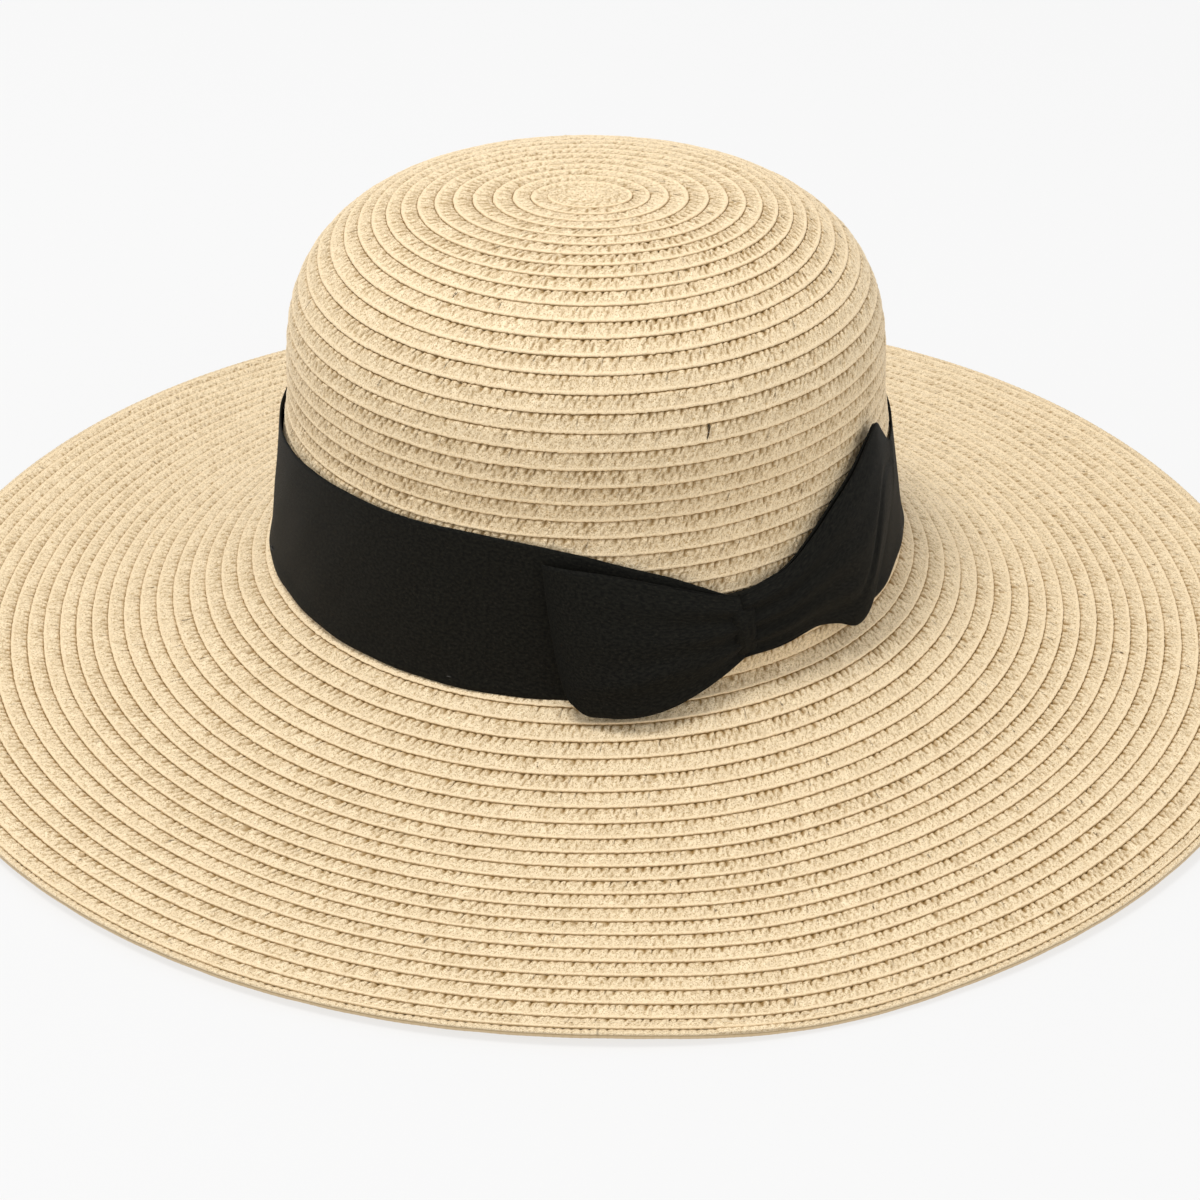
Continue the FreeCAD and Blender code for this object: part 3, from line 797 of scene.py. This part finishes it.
# azimuth in degrees and height in mm of the ribbon's edges, drawn together at the bow
BAND_TOP_EDGE = ((-180, 75.2), (-110, 73.8), (-85, 73.8), (-62, 76.0), (-45, 77.3), (-35, 77.4),
                 (-15, 77.4), (0, 73.7), (5, 71.4), (11, 68.4), (15, 66.2), (20.5, 62.2), (24, 59.3),
                 (27, 57.2), (36, 56.0), (44, 58.0), (53, 64.5), (64, 70.5), (76, 71.5), (95, 72.0),
                 (125, 75.0), (180, 75.2))
BAND_BOTTOM_EDGE = ((-180, 31.4), (-125, 32.2), (-95, 33.8), (-60, 33.0), (-30, 31.7), (-15, 31.3),
                    (0, 31.6), (12, 34.0), (27, 39.0), (35, 38.6), (43, 39.4), (47, 38.8),
                    (55, 36.0), (65, 35.5), (75, 37.5), (85, 37.5), (110, 33.0), (140, 31.4),
                    (180, 31.4))
RIBBON_THICKNESS = 0.45 * MM
RIBBON_WIDTH = 46 * MM
KNOT_AZIMUTH = math.radians(27)
KNOT_BOTTOM = 39.2 * MM
KNOT_TOP = 57.4 * MM
KNOT_HALF_WIDTH = 6.2 * MM
BAND_OFFSET = 1.85 * MM        # face of the ribbon above the straw's middle surface
GATHER_REACH = 14.5            # degrees from the knot over which the band's pleats fade
LEFT_TOP_OFF = 0.55            # mm that the band's top stands off further on the left
LEFT_FOOT_IN = 0.45            # mm that its foot lies closer there


def make_band():
    """Ribbon round the foot of the crown, drawn together towards the knot."""
    rows, columns = 41, 720
    across = np.linspace(0, 1, rows)[:, None]
    azimuth = ring(columns)[None, :]
    from_knot = np.degrees(np.abs(signed(azimuth - KNOT_AZIMUTH)))
    gather = np.exp(-(from_knot / GATHER_REACH) ** 1.3)
    degrees = np.degrees(signed(azimuth))
    bottom = through(BAND_BOTTOM_EDGE, degrees) * MM
    top = through(BAND_TOP_EDGE, degrees) * MM
    height = bottom + across * (top - bottom)
    pleats = np.cos(across * FULL_TURN * 3.2 + 0.9 * np.sin(azimuth * 11))
    slack = 0.12 * np.sin(azimuth * 13 + across * 5) + 0.10 * np.sin(azimuth * 29 - across * 9)
    rise = BAND_OFFSET + MM * (gather * (0.7 + 0.75 * pleats) + slack * (1 - across * 0.5))
    rise = rise + 0.35 * MM * smoothstep(0.12, 0.0, across)
    stand_off = LEFT_TOP_OFF * smoothstep(0.55, 1.0, across) - LEFT_FOOT_IN * (1 - across)
    rise = rise + stand_off * MM * np.clip(-np.sin(azimuth), 0, 1) ** 8
    radius = wall_radius(height) + rise
    front = settle(radius, azimuth, height)
    coordinates = flat_coordinates(azimuth * CROWN_BASE_RADIUS, across * RIBBON_WIDTH)
    piece = cloth("ribbon_band_cloth", front, RIBBON_THICKNESS, coordinates, close_columns=True)
    finish_piece(piece, RIBBON, "ribbon", "ribbon_band")


def loop_cloth(name, node, far_low, far_high, top, bottom, foot_off, fullness, crease):
    """Bow loop: ribbon that leaves the knot, folds over at the far end and comes back under."""
    rows, half = 33, 56
    across = np.linspace(0, 1, rows)[:, None]
    travel = np.linspace(0, 2, 2 * half + 1)[None, :]
    out = np.where(travel <= 1, travel, 2 - travel)
    share = np.sin(np.clip(out, 0, 1) * math.pi / 2) ** 0.9
    layer = np.cos(travel * math.pi / 2)            # 1 on the outer layer, -1 on the inner one
    far_azimuth = far_low + (far_high - far_low) * across ** 0.7
    azimuth = KNOT_AZIMUTH + (far_azimuth - KNOT_AZIMUTH) * share
    low = through(bottom, share) * MM
    high = through(top, share) * MM
    inset = 0.9 * MM * np.clip(-layer, 0, 1) * share
    height = (low + inset) + across * (high - low - 2 * inset)
    near_knot = (1 - share) ** 1.5
    arch = np.sin(math.pi * across) ** 0.8
    pleats = np.cos(across * FULL_TURN * 3.5 + 0.6) * near_knot
    body = through(fullness, share)
    gap = 0.7 + body * (0.35 + 0.65 * arch)
    rise = through(foot_off, share) * (1 - across) ** 1.4 + gap * (0.5 + 0.5 * layer) + 0.65 * pleats
    rise = rise + crease(share, across) * np.clip(layer, 0, 1)
    radius = wall_radius(height) + BAND_OFFSET + (1.2 + np.maximum(rise, 0)) * MM
    front = settle(radius, azimuth + 0 * across, height)
    along = travel * abs(far_high - KNOT_AZIMUTH) * CROWN_BASE_RADIUS
    coordinates = flat_coordinates(along, across * RIBBON_WIDTH)
    if far_high < KNOT_AZIMUTH:
        front = front[:, ::-1]
        coordinates = coordinates[:, ::-1]
    piece = cloth(name, front, RIBBON_THICKNESS, np.ascontiguousarray(coordinates))
    finish_piece(piece, RIBBON, "ribbon", node)
    return piece


def left_crease(share, across):
    """Fold across the hanging lower corner of the left loop."""
    line = across - (0.16 + 0.30 * (1 - share))
    return 0.8 * np.exp(-(line / 0.07) ** 2) * smoothstep(0.1, 0.5, share)


def right_crease(share, across):
    """Fold that runs up the right loop towards its far end."""
    line = across - (0.10 + 0.55 * smoothstep(0.35, 1.0, share))
    return -1.0 * np.exp(-(line / 0.07) ** 2) * smoothstep(0.30, 0.5, share)


def make_loops():
    """Bow loops; the tables go from the knot (0) to the far end (1) and are in mm."""
    left = loop_cloth(
        "bow_left_cloth", "bow_left_loop", math.radians(-2.5), math.radians(-7.5),
        top=((0, 57.0), (0.18, 60.8), (0.35, 64.2), (0.7, 69.8), (1, 72.0)),
        bottom=((0, 39.8), (0.2, 36.4), (0.5, 32.0), (0.8, 30.6), (0.93, 31.4), (1, 34.5)),
        foot_off=((0, 0.2), (0.3, 3.6), (0.6, 6.2), (1, 5.0)),
        fullness=((0, 1.5), (0.3, 3.6), (0.7, 4.2), (1, 1.5)),
        crease=left_crease)
    right = loop_cloth(
        "bow_right_cloth", "bow_right_loop", math.radians(71), math.radians(74.5),
        top=((0, 58.2), (0.1, 60.0), (0.2, 62.0), (0.315, 67.5), (0.447, 74.2), (0.573, 79.3),
             (0.66, 83.0), (0.73, 86.4), (0.79, 88.6), (0.85, 85.0), (0.92, 79.5), (1, 75.0)),
        bottom=((0, 39.8), (0.17, 40.8), (0.33, 42.0), (0.43, 40.2), (0.53, 37.0), (0.61, 40.0),
                (0.70, 48.5), (0.82, 56.0), (0.92, 60.0), (1, 62.0)),
        foot_off=((0, 0.2), (0.4, 1.0), (0.6, 3.0), (1, 0.5)),
        fullness=((0, 1.5), (0.35, 4.0), (0.6, 4.4), (0.8, 2.6), (1, 0.6)),
        crease=right_crease)


def make_knot():
    """Short ribbon wrapped round the middle of the bow."""
    rows, columns = 41, 25
    around = np.linspace(0, 1, rows)[:, None]
    along = np.linspace(-1, 1, columns)[None, :]
    low, high = KNOT_BOTTOM - 0.8 * MM, KNOT_TOP + 0.8 * MM
    height = low + around * (high - low)
    arch = np.sin(math.pi * around) ** 0.45
    waist = 1 - 0.22 * (1 - (2 * around - 1) ** 2)
    folds = 0.16 * np.cos(along * 7 + around * 3) * arch
    rise = 1.8 + 4.7 * arch * (1 - 0.8 * along ** 4) + folds
    radius = wall_radius(height) + rise * MM
    azimuth = KNOT_AZIMUTH + along * waist * KNOT_HALF_WIDTH / CROWN_BASE_RADIUS + 0 * around
    coordinates = flat_coordinates(along * 5 * MM, around * 24 * MM)
    knot = cloth("bow_knot_cloth", settle(radius, azimuth, height), RIBBON_THICKNESS, coordinates)
    finish_piece(knot, RIBBON, "ribbon", "bow_knot")


def stitch(name, azimuths, heights, rise, radius):
    """Short straight stitch that dips into the cloth at both ends."""
    share = np.linspace(0, 1, 9)
    azimuth = azimuths[0] + share * (azimuths[1] - azimuths[0])
    height = heights[0] + share * (heights[1] - heights[0])
    lift = rise * np.sin(math.pi * share) ** 0.5
    path = settle(wall_radius(height) + lift, azimuth, height)
    outward = settle(wall_radius(height) + lift + 1 * MM, azimuth, height) - path
    return tube(name, path, outward, radius, 6)


def join_pieces(name, pieces):
    """One object from several meshes."""
    bpy.ops.object.select_all(action="DESELECT")
    for piece in pieces:
        piece.select_set(True)
    bpy.context.view_layer.objects.active = pieces[0]
    bpy.ops.object.join()
    pieces[0].name = name
    return pieces[0]


TACK_DEGREES = (-135, -80, -25, 80, 135, 180)
TACK_LENGTH = 5 * MM
TACK_ABOVE_EDGE = 2.5          # mm above the ribbon's lower edge


def make_tack_stitches():
    """Short stitches that hold the ribbon to the straw."""
    stitches = []
    for degrees in TACK_DEGREES:
        start = math.radians(degrees)
        end = start + TACK_LENGTH / CROWN_BASE_RADIUS
        low = (through(BAND_BOTTOM_EDGE, degrees) + TACK_ABOVE_EDGE) * MM
        stitches.append(stitch("tack", (start, end), (low, low), BAND_OFFSET + 0.25 * MM, 0.2 * MM))
    piece = join_pieces("ribbon_tacks", stitches)
    finish_piece(piece, BLACK_THREAD, "ribbon_thread", "ribbon_tack_stitches")


# ---- Sweatband ----

SWEATBAND_BOTTOM = 32.6 * MM
SWEATBAND_TOP = 63.0 * MM
SWEATBAND_FACE = -2.25 * MM
SWEATBAND_THICKNESS = 0.7 * MM
SWEATBAND_WEAVE_WIDTH = 30 * MM
BACK = math.pi


def make_sweatband():
    """Tape round the inside of the crown, butted at the back, with a turned hem at its foot."""
    rows, columns = 25, 700
    across = np.linspace(0, 1, rows)[:, None]
    gap = 0.15 * MM / CROWN_BASE_RADIUS
    azimuth = np.linspace(BACK + gap, BACK + FULL_TURN - gap, columns)[None, :]
    height = SWEATBAND_BOTTOM + across * (SWEATBAND_TOP - SWEATBAND_BOTTOM)
    height = height + 0.15 * MM * np.sin(azimuth * 7) * across
    pucker = 0.10 * np.sin(azimuth * 61) * (1 - across) + 0.15 * np.sin(azimuth * 5 + 2) * across
    hem = 0.35 * smoothstep(0.16, 0.12, across)
    radius = wall_radius(height) + SWEATBAND_FACE - (pucker + hem) * MM
    front = settle(radius, azimuth, height)[:, ::-1]
    coordinates = flat_coordinates(azimuth * CROWN_BASE_RADIUS, across * SWEATBAND_WEAVE_WIDTH)[:, ::-1]
    piece = cloth("sweatband_cloth", front, SWEATBAND_THICKNESS, np.ascontiguousarray(coordinates))
    finish_piece(piece, TAPE, "sweatband_tape", "sweatband")


BINDING_THICKNESS = 0.2 * MM
# height, and offset from the straw's middle surface, both in mm
BINDING_SECTION = ((60.2, -2.30), (60.4, -2.62), (61.8, -2.70), (63.2, -2.62), (63.8, -2.1),
                   (63.2, -1.45), (60.4, -1.4))


def make_binding():
    """Tape folded over the top edge of the sweatband."""
    columns = 560
    azimuth = ring(columns)[None, :]
    height = np.array([point[0] for point in BINDING_SECTION])[:, None] * MM
    rise = np.array([point[1] for point in BINDING_SECTION])[:, None] * MM
    ripple = 0.05 * MM * np.sin(azimuth * 90)
    front = settle(wall_radius(height) + rise + ripple, azimuth, height)[:, ::-1]
    coordinates = flat_coordinates(azimuth * CROWN_BASE_RADIUS, height)[:, ::-1]
    piece = cloth("sweatband_binding_cloth", front, BINDING_THICKNESS, np.ascontiguousarray(coordinates),
                  close_columns=True)
    finish_piece(piece, BINDING, "sweatband_trim", "sweatband_binding")


def ring_stitches(name, height, high, low, period, radius):
    """Row of stitches round the sweatband: seen at one offset, sunk at the other."""
    count = 2 * int(FULL_TURN * CROWN_BASE_RADIUS / period)
    azimuth = ring(count)
    rise = np.where(np.arange(count) % 2 == 0, high, low)
    level = np.full(count, height)
    path = settle(wall_radius(level) + rise, azimuth, level)
    outward = settle(wall_radius(level) + rise + 1 * MM, azimuth, level) - path
    return tube(name, path, outward, radius, 5, closed=True)


JOIN_STITCHES = 13
JOIN_FOOT = 36.5               # mm, height of the lowest
JOIN_STEP = 1.9                # mm from one to the next
JOIN_HALF_WIDTH = 1.8 * MM
JOIN_LEAN = 0.9 * MM
JOIN_THREAD_RADIUS = 0.18 * MM


def make_sweatband_stitches():
    """The two rows that hold the sweatband and its binding, and the join at the back."""
    low_row = ring_stitches("low_row", 35.2 * MM, -2.75 * MM, -2.35 * MM, 4 * MM, 0.18 * MM)
    high_row = ring_stitches("high_row", 61.0 * MM, -2.85 * MM, -2.5 * MM, 3.2 * MM, 0.15 * MM)
    piece = join_pieces("sweatband_stitches", [low_row, high_row])
    finish_piece(piece, CREAM_THREAD, "sweatband_thread", "sweatband_stitching")
    crosses = []
    half = JOIN_HALF_WIDTH / CROWN_BASE_RADIUS
    for number in range(JOIN_STITCHES):
        height = (JOIN_FOOT + JOIN_STEP * number) * MM
        lean = JOIN_LEAN * (1 if number % 2 else -1)
        crosses.append(stitch("cross", (BACK - half, BACK + half), (height - lean, height + lean),
                              SWEATBAND_FACE - 0.3 * MM, JOIN_THREAD_RADIUS))
    piece = join_pieces("sweatband_join", crosses)
    finish_piece(piece, CREAM_THREAD, "sweatband_thread", "sweatband_join_stitches")


# node, azimuth, then width, bottom and top in mm
LABELS = (
    ("care_label", BACK + math.radians(14), 24, 42.0, 57.0),
    ("size_label", BACK - math.radians(12), 11, 44.5, 54.7),
)
LABEL_THICKNESS = 0.18 * MM


def make_label(name, node, azimuth, width, bottom, top):
    """Small blank label that hangs on the sweatband."""
    rows, columns = 13, 25
    across = np.linspace(0, 1, rows)[:, None]
    along = np.linspace(-0.5, 0.5, columns)[None, :]
    height = (bottom + across * (top - bottom)) * MM
    curl = 0.5 * smoothstep(0.5, 0.0, across) + 0.25 * np.abs(along)
    radius = wall_radius(height) + SWEATBAND_FACE - (0.35 + curl) * MM
    turn = azimuth - along * width * MM / CROWN_BASE_RADIUS
    coordinates = flat_coordinates(along * width * MM, across * (top - bottom) * MM)
    piece = cloth(name, settle(radius, turn, height), LABEL_THICKNESS, coordinates)
    finish_piece(piece, LABEL, "label_cloth", node)


make_straw()
make_button()
make_edge()
make_tail()
make_seam_threads()
make_edge_stitches()
make_band()
make_loops()
make_knot()
make_tack_stitches()
make_sweatband()
make_binding()
make_sweatband_stitches()
for label, *data in LABELS:
    make_label(f"{label}_cloth", label, *data)

# ---- Camera, floor and light ----

CAMERA_DISTANCE = 1.025
CAMERA_ELEVATION = math.radians(30.5)
CAMERA_TARGET_HEIGHT = 7.1 * MM
FOCAL_PER_FRAME = 2.79         # focal length over the width of the frame
SENSOR_WIDTH = 36.0
FRAME_SHIFT = 0.0012           # sideways, in widths of the frame
FLOOR_DROP = 0.2 * MM
FLOOR_SIZE = 12
FLOOR_GREY = 0.17
FLOOR_GLOW = 0.705             # light of its own, which keeps the ground shadow faint
WORLD_STRENGTH = 0.77
LIGHT_TARGET = (0, 0, 0.05)
# name, position, size in m and power in W
LIGHTS = (
    ("key", (-0.42, -0.18, 1.75), 0.55, 16.9),
    ("fill", (1.2, -1.2, 1.1), 1.2, 3.5),
)


def make_camera():
    """Camera in front of the hat, looking down at it as the photo does."""
    data = bpy.data.cameras.new("camera")
    data.sensor_width = SENSOR_WIDTH
    data.lens = FOCAL_PER_FRAME * SENSOR_WIDTH
    data.shift_x = FRAME_SHIFT
    camera = bpy.data.objects.new("camera", data)
    bpy.context.collection.objects.link(camera)
    away = CAMERA_DISTANCE * math.cos(CAMERA_ELEVATION)
    up = CAMERA_DISTANCE * math.sin(CAMERA_ELEVATION)
    camera.location = (0, -away, CAMERA_TARGET_HEIGHT + up)
    camera.rotation_euler = (math.pi / 2 - CAMERA_ELEVATION, 0, 0)
    bpy.context.scene.camera = camera


def make_floor():
    """Pale floor just under the hat."""
    bpy.ops.mesh.primitive_plane_add(size=FLOOR_SIZE, location=(0, 0, -FLOOR_DROP))
    floor = bpy.context.object
    floor.name = "floor"
    m = Nodes("pale_floor")
    m.shader.inputs["Base Color"].default_value = (FLOOR_GREY, FLOOR_GREY, FLOOR_GREY, 1)
    m.shader.inputs["Emission Color"].default_value = (1, 1, 1, 1)
    m.shader.inputs["Emission Strength"].default_value = FLOOR_GLOW
    m.shader.inputs["Roughness"].default_value = 0.9
    floor.data.materials.append(m.material)


def area_light(name, position, size, power):
    """Round light that points at the hat."""
    data = bpy.data.lights.new(name, "AREA")
    data.shape = "DISK"
    data.size = size
    data.energy = power
    light = bpy.data.objects.new(name, data)
    light.location = position
    way = np.subtract(LIGHT_TARGET, position)
    light.rotation_euler = (math.atan2(math.hypot(way[0], way[1]), -way[2]),
                            0, math.atan2(-way[0], way[1]))
    bpy.context.collection.objects.link(light)


def make_light():
    """Even white surroundings, a large light from above and a weak one from the right."""
    world = bpy.data.worlds.new("studio")
    world.use_nodes = True
    background = world.node_tree.nodes["Background"]
    background.inputs["Color"].default_value = (1, 1, 1, 1)
    background.inputs["Strength"].default_value = WORLD_STRENGTH
    bpy.context.scene.world = world
    for light in LIGHTS:
        area_light(*light)


make_camera()
make_floor()
make_light()
bpy.context.scene.view_settings.view_transform = "Standard"
